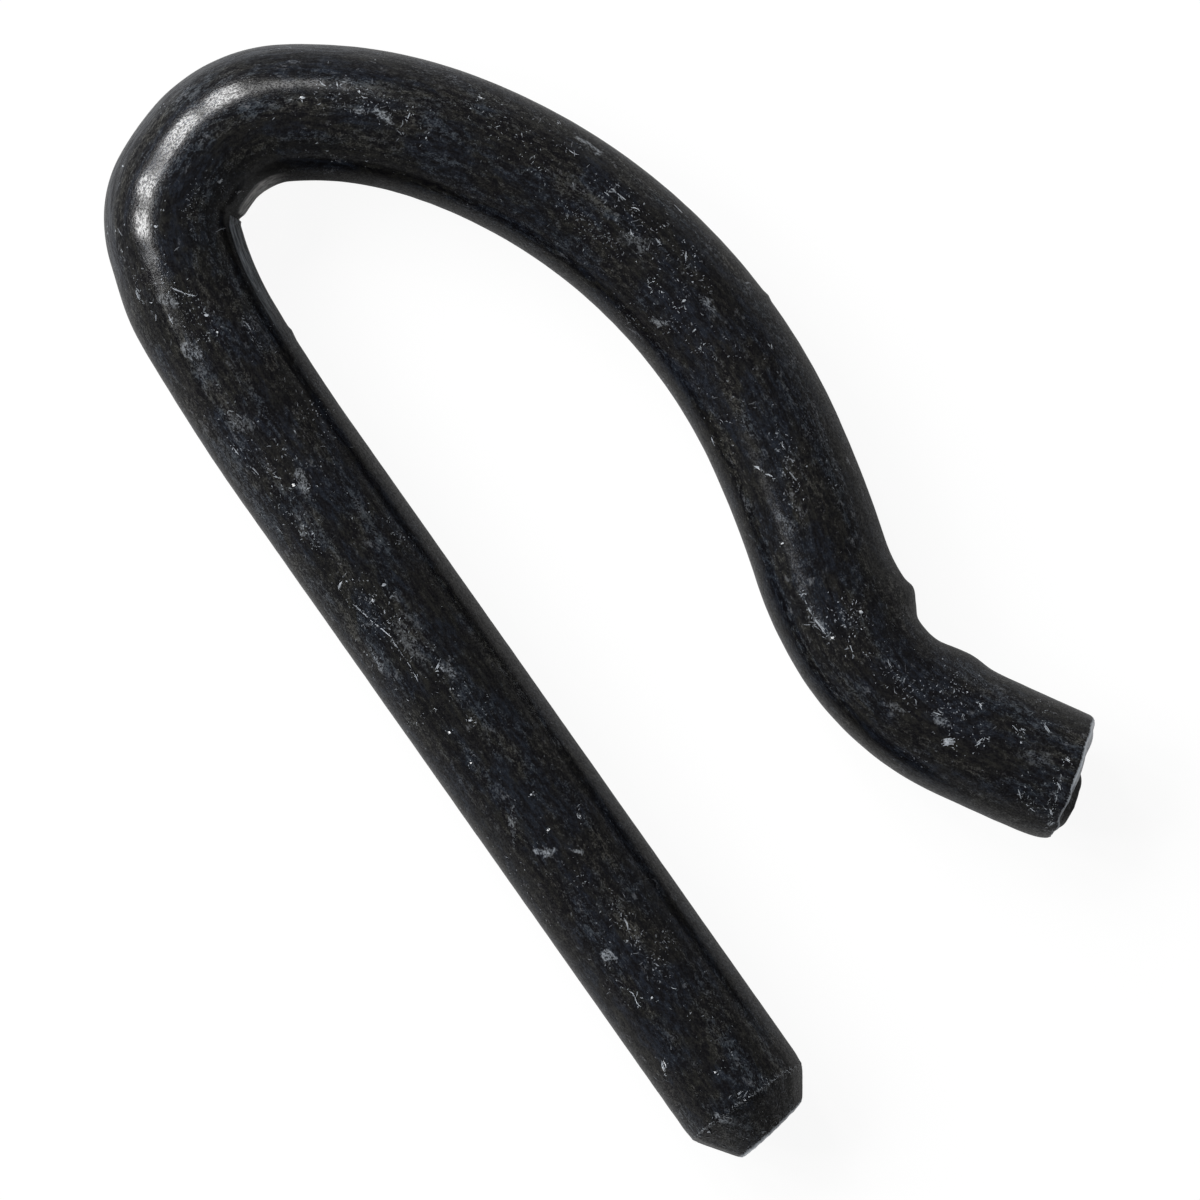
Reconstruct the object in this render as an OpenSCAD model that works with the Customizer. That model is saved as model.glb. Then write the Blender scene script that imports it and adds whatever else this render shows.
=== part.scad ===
// Hitch R clip pin, bent from one length of round steel rod.
// Frame: the rod lies flat with its centreline in the plane z = 0.
// The straight shank runs along +X to the chamfered tip.
// The origin is on the shank's axis, abreast of the middle of the bow, where the
// hitch pin sits whose cross hole the shank passes through.

/* [Rod] */
// Diameter of the round rod
rod_d = 3.175; // [2:0.005:4]

/* [Shank] */
// Length of straight shank from the seat of the hitch pin to the tip
seat_to_tip = 15.68; // [13:0.01:40]
// Length of straight shank from the seat back to the first bend
seat_to_bend = 3.45; // [1:0.01:20]
// Length of the chamfer on the tip
tip_chamfer = 0.91; // [0.3:0.01:1.2]
// Angle between the chamfer and the rod's axis
tip_chamfer_angle = 35; // [15:1:40]
// Lean of the sawn tip face away from square
tip_slant = 8; // [0:0.5:12]

/* [Hairpin] */
// Inside radius of the long, nearly straight lead into the hairpin
lead_r = 44.9; // [30:0.1:90]
// Turn of the lead in degrees
lead_turn = 4.45; // [1:0.05:6]
// Inside radius of the easing before the hairpin
ease_r = 7.08; // [5:0.01:12]
// Turn of the easing
ease_turn = 15.55; // [8:0.05:20]
// Inside radius of the hairpin's first tight bend
first_r = 0.18; // [0.15:0.01:2]
// Turn of the first tight bend
first_turn = 39.2; // [30:0.1:45]
// Inside radius of the flatter crown between the tight bends
crown_r = 2.96; // [1:0.01:6]
// Turn of the crown
crown_turn = 12.2; // [6:0.1:20]
// Inside radius of the hairpin's second tight bend
second_r = 1; // [0.5:0.01:2.5]
// Turn of the second tight bend
second_turn = 51.2; // [40:0.1:60]
// Depth of the crease pinched into the inside of the hairpin
crease_depth = 0.14; // [0:0.01:0.3]
// Width of the crease, measured along the rod
crease_w = 0.5; // [0.3:0.01:0.8]
// Height of the metal squeezed up beside the crease
crease_swell = 0.12; // [0:0.01:0.2]

/* [Bow] */
// Inside radius of the shoulder that leads from the hairpin into the bow
shoulder_r = 8.13; // [6:0.01:12]
// Turn of the shoulder
shoulder_turn = 21.95; // [15:0.05:30]
// Inside radius of the bow that grips the hitch pin
bow_r = 11.95; // [10:0.01:16]
// Turn of the bow
bow_turn = 46.4; // [40:0.1:50]
// Inside radius of the bow's flatter run-out
runout_r = 24.3; // [16:0.1:50]
// Turn of the run-out
runout_turn = 6.45; // [3:0.05:9]

/* [Kink and arm end] */
// Inside radius where the rod starts to turn out of the bow
kink_ease_r = 6.67; // [4:0.01:12]
// Turn of that start
kink_ease_turn = 13.15; // [6:0.05:18]
// Inside radius of the kink that closes on the shank
kink_r = 4.34; // [2.5:0.01:8]
// Turn of the kink
kink_turn = 34.8; // [25:0.1:45]
// Straight length of the arm after the kink
arm_end = 2.79; // [1.5:0.01:10]
// Height of the lip raised at the start of the bender's imprint in the kink
imprint_lip = 0.16; // [0:0.01:0.25]
// Depth of the bender's imprint
imprint_depth = 0.17; // [0:0.01:0.3]
// Length of the imprint along the rod
imprint_len = 1.33; // [0.8:0.01:2]
// Lean of the sheared end towards the underside
shear_lean = 8.5; // [0:0.5:12]
// Lean of the sheared end towards the shank
shear_skew = 4.5; // [0:0.5:10]
// Rounding of the rim where the rod was sheared
shear_roll = 0.1; // [0.04:0.01:0.25]
// Depth to which the blade dragged down the side next to the shank
shear_drag = 0.16; // [0:0.01:0.3]

/* [Hidden] */

rod_r = rod_d / 2;

// Sides of the bent rod's section, and the spacing of its sections
section_sides = 48;
turn_step = 3.6;
length_step = 0.75;

// The bent rod starts as a slim neck inside the shank, laps over the shank's end and
// stands proud of it by a hair, so that the two surfaces cross cleanly
joint_depth = 0.5;
joint_lap = 0.02;
joint_proud = 0.008;
bent_r = rod_r + joint_proud;
neck_r = 0.8 * rod_r;

// A bend of the rod: centreline radius from its inside radius, and its turn
function bend(inside_r, turn) = [inside_r + rod_r, turn];

// Each stretch of the bent rod: radius and turn, clockwise negative, or length and 0
stretches = [
    bend(lead_r, -lead_turn),
    bend(ease_r, -ease_turn),
    bend(first_r, -first_turn),
    bend(crown_r, -crown_turn),
    bend(second_r, -second_turn),
    bend(shoulder_r, -shoulder_turn),
    bend(bow_r, -bow_turn),
    bend(runout_r, -runout_turn),
    bend(kink_ease_r, kink_ease_turn),
    bend(kink_r, kink_turn),
    [arm_end, 0]
];
CROWN = 3;
SECOND = 4;
KINK = 9;

function len_of(s) = s[1] == 0 ? s[0] : s[0] * abs(s[1]) * PI / 180;

// Place and heading after the share f of stretch s that starts at p = [x, y, heading]
function along(p, s, f) =
    s[1] == 0
        ? [p[0] + f * s[0] * cos(p[2]), p[1] + f * s[0] * sin(p[2]), p[2]]
        : let (side = sign(s[1]), h = p[2] + f * s[1])
          [p[0] + side * s[0] * (sin(h) - sin(p[2])),
           p[1] - side * s[0] * (cos(h) - cos(p[2])),
           h];

// Start of stretch i, and the length of rod before it
function start_of(i) = i == 0 ? [-seat_to_bend, 0, 180] : along(start_of(i - 1), stretches[i - 1], 1);
function run_to(i) = i == 0 ? 0 : run_to(i - 1) + len_of(stretches[i - 1]);

function steps_of(s) = max(2, ceil(abs(s[1]) / turn_step), s[1] == 0 ? ceil(s[0] / length_step) : 0);

// Stations along the rod: [x, y, heading, length of rod so far]
stations = concat(
    [[-seat_to_bend + joint_lap, 0, 180, -joint_lap]],
    [for (i = [0 : len(stretches) - 1])
        let (s = stretches[i], p = start_of(i), n = steps_of(s))
        for (k = [i == 0 ? 1 : 0 : n - 1])
            let (q = along(p, s, k / n))
            [q[0], q[1], q[2], run_to(i) + len_of(s) * k / n]]
);

// Marks on the bent rod, each at its length along the rod
rod_end = run_to(len(stretches));
crease_at = run_to(CROWN);
swell_at = run_to(SECOND) + 0.5 * len_of(stretches[SECOND]);
swell_w = 1.5;
lip_at = run_to(KINK) - 0.28;
lip_w = 0.42;
imprint_from = lip_at + 0.73;
imprint_to = imprint_from + imprint_len;
imprint_slope = 0.4;
heel_slope = 0.7;
heel_at = imprint_to + 0.98;
heel_w = 0.6;
drag_w = 0.28;

function hump(x, w) = exp(-x * x / (w * w));
function step_up(x, w) = 1 / (1 + exp(-4 * x / w));

// Height of the marks on the inside of the hairpin, at length t along the rod
function hairpin_marks(t) =
    let (swell = crease_swell * hump(t - swell_at, swell_w))
    swell - (crease_depth + swell) * hump(t - crease_at, crease_w / 2);

// Height of the lip and the heel beside the bender's imprint, and the imprint's depth
function imprint_rims(t) =
    imprint_lip * (hump(t - lip_at, lip_w) + 0.6 * hump(t - heel_at, heel_w));
function imprint_dent(t) =
    imprint_depth * step_up(t - imprint_from, imprint_slope) * step_up(imprint_to - t, heel_slope);

// All marks at length t and angle a round the section, which is 0 on the left of travel
function marks(t, a) =
    let (right = max(0, -cos(a)), left = max(0, cos(a)))
    hairpin_marks(t) * pow(right, 3)
    + imprint_rims(t) * pow(left, 4)
    - imprint_dent(t) * pow(left, 8)
    - shear_drag * exp((t - rod_end) / drag_w) * pow(right, 2);

// A point of the section at station q: radius r, angle a, and a reach along the rod
function section_point(q, r, a, reach = 0) =
    let (side = r * cos(a))
    [q[0] - sin(q[2]) * side + cos(q[2]) * reach,
     q[1] + cos(q[2]) * side + sin(q[2]) * reach,
     r * sin(a)];

function section(q) =
    [for (k = [0 : section_sides - 1])
        let (a = 360 * k / section_sides)
        section_point(q, bent_r + marks(q[3], a), a)];

function neck_section() =
    [for (k = [0 : section_sides - 1])
        section_point([-seat_to_bend + joint_depth, 0, 180], neck_r, 360 * k / section_sides)];

// The sheared face leans to the underside, and less on the side away from the shank
function shear_reach(r, a) =
    let (side = r * cos(a), up = r * sin(a))
    -side * tan(shear_skew)
    - up * tan(shear_lean) * (0.15 + 0.85 * step_up(0.15 - side / rod_r, 0.7));

function shear_ring(q, r, back) =
    [for (k = [0 : section_sides - 1])
        let (a = 360 * k / section_sides)
        section_point(q, r + r / rod_r * marks(rod_end, a), a, shear_reach(r, a) - back)];

arm_tip = start_of(len(stretches));
shear_rings = [
    shear_ring(arm_tip, bent_r, shear_roll),
    shear_ring(arm_tip, bent_r - 0.3 * shear_roll, 0.3 * shear_roll),
    shear_ring(arm_tip, bent_r - shear_roll, 0),
    shear_ring(arm_tip, rod_r * 0.7, -0.03),
    shear_ring(arm_tip, rod_r * 0.35, 0.02)
];

module bent_rod() {
    rings = concat([neck_section()], [for (q = stations) section(q)], shear_rings);
    n = section_sides;
    count = len(rings);
    points = concat([for (ring = rings) each ring], [[arm_tip[0], arm_tip[1], 0]]);
    start_cap = [[for (k = [0 : n - 1]) k]];
    walls = [
        for (j = [0 : count - 2]) for (k = [0 : n - 1])
            let (a = j * n + k, b = j * n + (k + 1) % n)
            each [[a, a + n, b + n], [a, b + n, b]]
    ];
    end_cap = [for (k = [0 : n - 1]) [(count - 1) * n + k, count * n, (count - 1) * n + (k + 1) % n]];
    polyhedron(points, concat(start_cap, walls, end_cap), convexity = 6);
}

// The straight shank is one turned form: the rod with its chamfered tip
module shank() {
    overrun = rod_r * tan(tip_slant);
    chamfer_from = seat_to_tip - tip_chamfer;
    face_r = rod_r - (tip_chamfer + overrun) * tan(tip_chamfer_angle);
    difference() {
        rotate([0, 90, 0])
            rotate_extrude($fn = 96)
                polygon([
                    [0, -seat_to_bend],
                    [rod_r, -seat_to_bend],
                    [rod_r, chamfer_from],
                    [face_r, seat_to_tip + overrun],
                    [0, seat_to_tip + overrun]
                ]);
        translate([seat_to_tip, 0, 0])
            rotate([0, 0, tip_slant])
                translate([0, -rod_d, -rod_d])
                    cube([rod_d, 2 * rod_d, 2 * rod_d]);
    }
}

module clip_rod() {
    color([0.13, 0.13, 0.14]) {
        shank();
        bent_rod();
    }
}

clip_rod();
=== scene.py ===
"""A hitch R clip pin, bent from black coated steel rod, on a pale studio floor."""

import math
from typing import NamedTuple

import bpy
import numpy as np
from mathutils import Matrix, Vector


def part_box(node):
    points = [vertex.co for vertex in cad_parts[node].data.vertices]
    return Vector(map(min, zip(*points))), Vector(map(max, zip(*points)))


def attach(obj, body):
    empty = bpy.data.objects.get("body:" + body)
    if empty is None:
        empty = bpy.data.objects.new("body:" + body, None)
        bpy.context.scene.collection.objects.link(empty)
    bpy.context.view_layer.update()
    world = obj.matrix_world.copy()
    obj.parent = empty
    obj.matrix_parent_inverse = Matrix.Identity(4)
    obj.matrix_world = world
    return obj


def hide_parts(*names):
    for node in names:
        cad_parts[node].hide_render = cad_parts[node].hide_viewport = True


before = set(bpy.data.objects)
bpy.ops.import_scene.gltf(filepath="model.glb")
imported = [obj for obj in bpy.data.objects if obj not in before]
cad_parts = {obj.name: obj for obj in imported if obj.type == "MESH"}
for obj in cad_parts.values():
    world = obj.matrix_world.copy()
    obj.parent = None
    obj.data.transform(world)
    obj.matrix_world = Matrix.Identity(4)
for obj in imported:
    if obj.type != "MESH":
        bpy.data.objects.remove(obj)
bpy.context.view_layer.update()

bl_info = {
    "name": "Hitch R clip pin",
    "version": (1, 0, 0),
    "blender": (4, 5, 0),
    "location": "3D View > Sidebar > Clip Pin",
    "description": "Builds a bent rod clip with a worn black coating, and its studio",
    "category": "Add Mesh",
}

MM = 0.001
CAD_LOW, CAD_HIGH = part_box("clip_rod")

# The rod in mm: its radius, and the straight shank from the hitch pin's seat back to the lead
ROD_R = 1.5875
SHANK_BACK = 3.45

# Each bend of the rod: its inside radius in mm and its turn in degrees, clockwise negative
BENDS = {
    "lead": (44.9, -4.45),
    "easing": (7.08, -15.55),
    "first tight bend": (0.18, -39.2),
    "crown": (2.96, -12.2),
    "second tight bend": (1.0, -51.2),
    "shoulder": (8.13, -21.95),
    "bow": (11.95, -46.4),
    "run-out": (24.3, -6.45),
    "kink's start": (6.67, 13.15),
    "kink": (4.34, 34.8),
}

# Marks on the rod, in mm: places, depths and reaches along it, and the heel's share of the lip
SWELL_REACH = 1.5
CREASE_REACH, CREASE_LEAN = 0.18, 0.03
LIP_BEFORE_KINK, LIP_NEAR, LIP_FAR, LIP_AFTER = 0.28, 0.22, 0.9, 0.40
IMPRINT_AFTER_LIP, IMPRINT_LONG = 0.73, 1.33
HEEL_AFTER_IMPRINT, HEEL_REACH, HEEL_SHARE = 0.98, 0.6, 0.6
FLAT_DEEP, FLAT_BEFORE_CREASE, FLAT_REACH = 0.030, 1.2, 2.2
DRAG_DEEP, DRAG_REACH = 0.16, 0.28

# Swellings outside the hairpin: the bend, how far past its start, height and reach in mm
SWELLINGS = [("crown", -0.1, 0.06, 0.8), ("first tight bend", -1.3, 0.045, 0.7)]

# Slow and quick unevenness: height in mm, seed, and the lowest and highest wave number
UNEVENNESS = [(0.0014, 5, 1.0, 4.0), (0.0012, 6, 5.0, 12.0)]

# Small lumps of coating: place along the rod in mm, and side, 1 left of travel, -1 right;
# then their height and reach
LUMPS = [(2.73, -1.0), (22.21, 1.0)]
LUMP_HIGH, LUMP_REACH = 0.032, 0.09

# The chamfer's cone sits low on the rod and a hair proud of it; its ridge is rolled over
CHAMFER_LOW, CHAMFER_PROUD = 0.12, 0.02
RIDGE_ROLL, RIDGE_REACH = 0.026, 0.13

# The sheared end, in mm: its lean towards the shank as an angle, how far it is set back, the
# length of wall that it pulls along, how far its torn forms reach, and the rounding of its rim
SHEAR_SKEW, SHEAR_BACK, SHEAR_PULL = math.radians(4.5), 0.15, 1.0
LOBE_REACH, FOOT_REACH, LEDGE_REACH = 0.32, 0.05, 0.045
END_ROUND = 0.10

# Shares of the radius at which the end faces have rings, and how many rings the chamfer has
TIP_FACE_STEPS = (0.0, 0.15, 0.3, 0.45, 0.6, 0.72, 0.82, 0.9, 0.95, 0.98)
SHEARED_FACE_STEPS = (0.995, 0.985, 0.975, 0.965, 0.955, 0.94, 0.91, 0.87, 0.83, 0.78, 0.72, 0.65,
                      0.57, 0.48, 0.38, 0.27, 0.15, 0.0)
CHAMFER_STEPS = 26

# Flecks, in mm: usual and greatest length, and widths; the counts at the chamfer; the strands
# of a chip; and a flake's rows, height over the skin, and share of gaps
FLECK_LONG, FLECK_LONGEST, FLECK_WIDTHS = 0.034, 0.24, (0.014, 0.034)
RIDGE_FLECKS, CHAMFER_FLECKS = 230, 360
CHIP_PITCH, CHIP_WIDTHS = 0.036, (0.022, 0.034)
FLAKE_ROW, FLAKE_LIFT, FLAKE_GAPS = 0.09, 0.003, 0.28

# The softbox's panels: bearing from the picture's right and height above the floor in
# degrees, height of the panel in m, and share of the power; then their width and distance
SOFTBOX = [
    (196, 43, 0.12, 0.03),
    (178, 40, 0.20, 1.00),
    (158, 38, 0.24, 1.15),
    (138, 38, 0.24, 1.10),
    (118, 38, 0.24, 1.12),
    (98, 44, 0.12, 0.14),
]
PANEL_WIDTH, PANEL_AWAY = 0.0882, 0.5

# The photograph's width in picture points. The camera looks straight down: the width and middle
# of its view in mm, its turn, lens and sensor, and its height above the rod's middle line
PHOTO_POINTS = 1200
VIEW_WIDTH, VIEW_MIDDLE, VIEW_TURN = 28.118, (3.206, 3.950), math.radians(54.83)
LENS, SENSOR = 200.0, 36.0
CAMERA_HEIGHT = VIEW_WIDTH * LENS / SENSOR

# Pale flecks that stand out, read from the photograph: the picture points of both
# ends, the width in picture points, and the strength
FLECKS_AND_GLINTS = {
    "hairpin hair": ((172, 288), (184, 293), 1.6, 0.9),
    "hairpin hair, bent end": ((184, 293), (196, 296), 1.6, 0.95),
    "hairpin dot": ((154, 226), (157, 227), 2.6, 0.9),
    "hairpin crown fleck": ((219, 184), (222, 179), 2.4, 0.9),
    "crease fleck": ((237, 193), (241, 190), 3.0, 0.95),
    "crease hair": ((216, 232), (226, 228), 1.0, 0.55),
    "hairpin foot chip": ((204, 315), (208, 316), 3.0, 0.8),
    "hairpin foot dot": ((216, 333), (218, 331), 2.4, 0.9),
    "hairpin inner streak": ((245, 322), (251, 330), 1.8, 0.7),
    "hairpin outer streak": ((168, 314), (173, 324), 1.8, 0.7),
    "hairpin flank chip": ((135, 288), (142, 302), 2.6, 0.7),
    "shoulder chip": ((300, 97), (305, 98), 4.0, 0.95),
    "shoulder dash": ((320, 81), (326, 86), 1.8, 0.95),
    "shoulder upright dot": ((337, 82), (338, 87), 2.2, 0.95),
    "shoulder far dot": ((358, 91), (360, 92), 2.6, 0.95),
    "shoulder stroke": ((410, 113), (408, 119), 1.8, 0.9),
    "shoulder right dot": ((425, 138), (427, 138), 2.6, 0.85),
    "bow first chip": ((478, 96), (483, 99), 2.8, 1.0),
    "bow crown dot": ((557, 122), (559, 124), 1.8, 0.85),
    "bow crown chip": ((569, 150), (579, 155), 2.2, 1.0),
    "bow trio, left": ((604, 192), (609, 196), 2.2, 0.9),
    "bow trio, middle": ((611, 189), (616, 190), 2.4, 0.95),
    "bow trio, right": ((617, 193), (626, 200), 1.8, 0.9),
    "bow chip past the trio": ((634, 208), (640, 211), 2.0, 1.0),
    "bow long scratch": ((672, 202), (688, 218), 1.0, 0.85),
    "bow inner dash": ((630, 229), (634, 237), 2.4, 0.95),
    "bow slanted dash": ((654, 237), (661, 244), 2.4, 0.95),
    "bow upright dash": ((686, 251), (686, 261), 1.5, 0.95),
    "bow middle chip": ((682, 302), (686, 300), 2.8, 0.85),
    "bow outer chip": ((746, 283), (750, 283), 2.2, 0.85),
    "bow outer dot": ((771, 344), (772, 348), 2.2, 0.9),
    "bow lower chip": ((698, 347), (703, 350), 3.4, 0.65),
    "bow inner edge dash": ((711, 434), (715, 446), 1.6, 0.85),
    "bow low dot": ((782, 443), (784, 448), 2.2, 0.9),
    "bow low pair, left": ((754, 465), (761, 470), 2.4, 1.0),
    "bow low pair, right": ((765, 474), (773, 477), 2.2, 1.0),
    "bow low scratch": ((785, 467), (800, 486), 1.3, 0.8),
    "kink first chip": ((781, 544), (784, 543), 2.6, 1.0),
    "kink second chip": ((801, 597), (805, 593), 2.2, 1.0),
    # Painted highlight: the next two lay the kink's glossy spot on as pale flakes
    "kink inner streak": ((805, 600), (812, 615), 2.0, 0.8),
    "kink inner streak, low": ((814, 618), (826, 634), 2.6, 0.95),
    "kink big dot": ((859, 611), (863, 613), 4.0, 1.0),
    "kink inner chip": ((831, 638), (834, 637), 3.4, 0.95),
    "kink hair": ((848, 639), (854, 655), 1.5, 0.8),
    "kink outer dash": ((888, 659), (892, 667), 2.0, 0.8),
    "imprint lip chip": ((941, 743), (956, 740), 9.0, 1.0),
    "imprint lip chip, middle": ((943, 742), (954, 741), 5.0, 1.0),
    "imprint lip stroke": ((974, 746), (988, 735), 3.2, 0.85),
    "imprint dash": ((933, 712), (941, 715), 1.8, 0.95),
    "heel dot, upper": ((966, 692), (968, 692), 2.2, 1.0),
    "heel dot, lower": ((979, 703), (982, 706), 2.0, 1.0),
    "arm end dash": ((1012, 725), (1018, 731), 1.8, 0.85),
    "arm end dot": ((1021, 728), (1025, 731), 2.4, 0.95),
    "arm end stroke": ((1043, 723), (1050, 733), 3.0, 0.8),
    "arm end low dash": ((1026, 804), (1035, 812), 1.8, 0.75),
    "sheared rim chip": ((1064, 758), (1071, 762), 3.4, 1.0),
    "sheared rim fray": ((1057, 782), (1061, 790), 2.0, 0.7),
    "sheared rim fray, low": ((1057, 795), (1055, 803), 2.0, 0.7),
    "low rim chip": ((1050, 807), (1052, 817), 2.6, 1.0),
    "low rim chip, foot": ((1046, 828), (1053, 820), 2.4, 0.85),
    "arm end upright dash": ((1018, 789), (1021, 799), 1.8, 0.75),
    "arm end middle dot": ((1020, 742), (1022, 743), 2.4, 0.85),
    "shank top dash": ((233, 447), (239, 455), 1.6, 0.85),
    "shank slanted dash": ((250, 466), (259, 475), 1.6, 0.85),
    "shank level dash": ((273, 476), (279, 478), 1.6, 0.95),
    "shank chip": ((292, 484), (295, 486), 3.6, 1.0),
    "shank upright chip": ((339, 590), (342, 579), 2.6, 1.0),
    "shank knot": ((372, 599), (374, 602), 3.0, 1.0),
    "shank knot, above": ((382, 586), (386, 584), 3.6, 0.8),
    "long hair, start": ((353, 604), (370, 620), 1.6, 0.9),
    "long hair, middle": ((370, 620), (391, 637), 1.7, 0.9),
    "long hair, first bit": ((393, 641), (398, 648), 1.2, 0.7),
    "long hair, second bit": ((400, 651), (404, 657), 1.1, 0.65),
    "long hair, third bit": ((407, 662), (411, 668), 1.2, 0.75),
    "long hair, end": ((413, 672), (418, 682), 1.1, 0.7),
    "hair across the long one": ((396, 591), (389, 605), 0.9, 0.4),
    "middle chip": ((435, 671), (440, 662), 3.4, 1.0),
    "middle dash": ((434, 708), (437, 710), 2.0, 1.0),
    "middle low chip": ((468, 722), (473, 719), 3.2, 1.0),
    "middle dot": ((448, 732), (451, 733), 2.2, 1.0),
    "middle low dot": ((470, 763), (472, 763), 2.2, 1.0),
    "far dot": ((530, 794), (532, 795), 2.4, 1.0),
    "far chip": ((547, 831), (550, 829), 3.0, 1.0),
    "far outer stroke": ((576, 812), (582, 820), 2.6, 0.95),
    "far long stroke": ((624, 918), (628, 930), 1.5, 0.85),
    "far bent stroke": ((629, 991), (635, 997), 1.8, 0.85),
    "far bent stroke, end": ((635, 997), (641, 1007), 2.2, 0.9),
    "far low chip": ((651, 997), (653, 998), 2.8, 1.0),
    "big chip near the tip": ((661, 1060), (666, 1072), 6.5, 1.0),
    "dot near the tip": ((714, 1073), (716, 1071), 2.4, 1.0),
    "chamfer ridge dot": ((706, 1134), (708, 1132), 2.8, 1.0),
    "chamfer ridge chip": ((737, 1096), (742, 1091), 2.6, 0.85),
}

# Places where small flecks gather, read off: the picture points of both ends, the width in
# picture points, and how many flecks
PATCHES_AND_SPARKLE = {
    "hairpin foot": ((160, 268), (205, 340), 30, 120),
    "hairpin flank": ((132, 272), (142, 302), 8, 22),
    "hairpin inner side": ((243, 315), (258, 348), 8, 25),
    "shoulder": ((315, 92), (420, 122), 26, 130),
    "bow crown": ((485, 115), (545, 165), 30, 80),
    "bow middle": ((605, 190), (706, 290), 36, 170),
    "bow flank": ((650, 318), (740, 350), 30, 60),
    "bow low": ((778, 432), (800, 505), 16, 80),
    # Partly pale flecks, partly a painted sparkle of the kink's highlight
    "kink inner side": ((806, 605), (832, 640), 14, 70),
    "kink middle": ((838, 612), (850, 628), 12, 35),
    "before the imprint": ((872, 650), (918, 698), 24, 70),
    "imprint": ((925, 685), (985, 738), 40, 90),
    "sheared rim": ((1060, 768), (1052, 826), 12, 60),
    "arm end, low": ((1018, 790), (1046, 812), 14, 30),
    "shank top": ((230, 420), (310, 485), 44, 110),
    "past the shank rub": ((290, 515), (318, 548), 18, 40),
    "shank middle": ((352, 585), (428, 665), 30, 120),
    "beside the long hair": ((432, 660), (485, 722), 24, 55),
    "far part": ((605, 890), (665, 985), 26, 90),
    "far part, inner side": ((668, 925), (662, 965), 14, 30),
}

# Grey rubbed places, and one painted highlight on the kink, read and written the same way as the
# flecks
SCUFFS_AND_HIGHLIGHT = {
    "hairpin": ((160, 297), (175, 305), 12, 0.45),
    "hairpin foot": ((186, 347), (199, 357), 15, 0.6),
    "shoulder, left": ((354, 109), (362, 115), 7, 0.8),
    "shoulder, right": ((376, 113), (392, 120), 9, 0.85),
    "bow crown": ((577, 136), (600, 153), 11, 0.8),
    "bow inner": ((625, 235), (648, 248), 14, 0.3),
    "bow flank": ((650, 320), (666, 324), 8, 0.7),
    "bow middle": ((703, 298), (713, 308), 8, 0.6),
    "kink": ((778, 515), (793, 530), 10, 0.35),
    # A painted highlight: the glossy spot on the kink's inner side
    "kink inner": ((812, 611), (820, 626), 6, 0.7),
    "kink outer": ((846, 456), (852, 468), 6, 0.6),
    "arm": ((885, 702), (905, 712), 8, 0.4),
    "imprint": ((935, 716), (948, 725), 8, 0.65),
    "arm end": ((1020, 755), (1050, 760), 14, 0.18),
    "shank top": ((235, 420), (255, 428), 14, 0.3),
    "shank": ((300, 470), (306, 494), 12, 0.7),
    "shank, low": ((302, 526), (306, 538), 6, 0.7),
    "shank middle": ((372, 650), (383, 671), 7, 0.8),
    "under the long hair": ((398, 625), (420, 660), 14, 0.3),
    "shank middle, right": ((444, 666), (453, 674), 10, 0.6),
    "far part, side": ((511, 806), (514, 845), 6, 0.5),
    "far part": ((534, 851), (552, 852), 10, 0.95),
    "far part, small": ((571, 850), (580, 853), 6, 0.7),
    "far part, low": ((604, 952), (614, 960), 8, 0.9),
    "chamfer ridge": ((715, 1115), (725, 1123), 9, 0.8),
}


# Sizes and colours that a user would change

def length(name, text, default, low, high):
    return bpy.props.FloatProperty(
        name=name, description=text, default=default * MM, min=low * MM, max=high * MM,
        unit="LENGTH", precision=5)


def angle(name, text, default, low, high):
    return bpy.props.FloatProperty(
        name=name, description=text, default=math.radians(default), min=math.radians(low),
        max=math.radians(high), subtype="ANGLE")


def number(name, text, default, low, high):
    return bpy.props.IntProperty(name=name, description=text, default=default, min=low, max=high)


def share(name, text, default, high=1.0):
    return bpy.props.FloatProperty(name=name, description=text, default=default, min=0.0, max=high,
                                   subtype="FACTOR")


def colour(name, text, default):
    return bpy.props.FloatVectorProperty(name=name, description=text, default=default, size=3,
                                         min=0.0, max=1.0, subtype="COLOR")


class ClipShape(bpy.types.PropertyGroup):
    seat_to_tip: length("Seat to tip", "Shank from the pin's seat to the tip", 15.68, 15.0, 15.68)
    chamfer: length("Tip chamfer", "Length of the chamfer on the tip", 0.91, 0.3, 1.2)
    chamfer_angle: angle("Chamfer angle", "Angle between the chamfer and the rod", 35, 15, 40)
    tip_slant: angle("Tip slant", "Lean of the sawn tip face away from square", 8, 0, 12)
    arm_end: length("Arm end", "Straight arm after the kink", 2.79, 2.0, 2.79)
    crease: length("Crease depth", "Depth of the crease inside the hairpin", 0.06, 0.0, 0.3)
    swell: length("Crease swell", "Metal squeezed up beside the crease", 0.07, 0.0, 0.2)
    imprint: length("Imprint depth", "Depth of the bender's imprint in the kink", 0.17, 0.0, 0.3)
    lip: length("Imprint lip", "Lip raised where the imprint starts", 0.16, 0.0, 0.2)
    rings: number("Rings", "Sections along the bent rod", 480, 120, 700)
    sides: number("Sides", "Points round each section", 128, 32, 160)
    clusters: number("Clusters", "Clusters of small flecks", 190, 0, 250)
    loose: number("Loose flecks", "Small flecks between clusters", 2200, 0, 2500)


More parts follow.
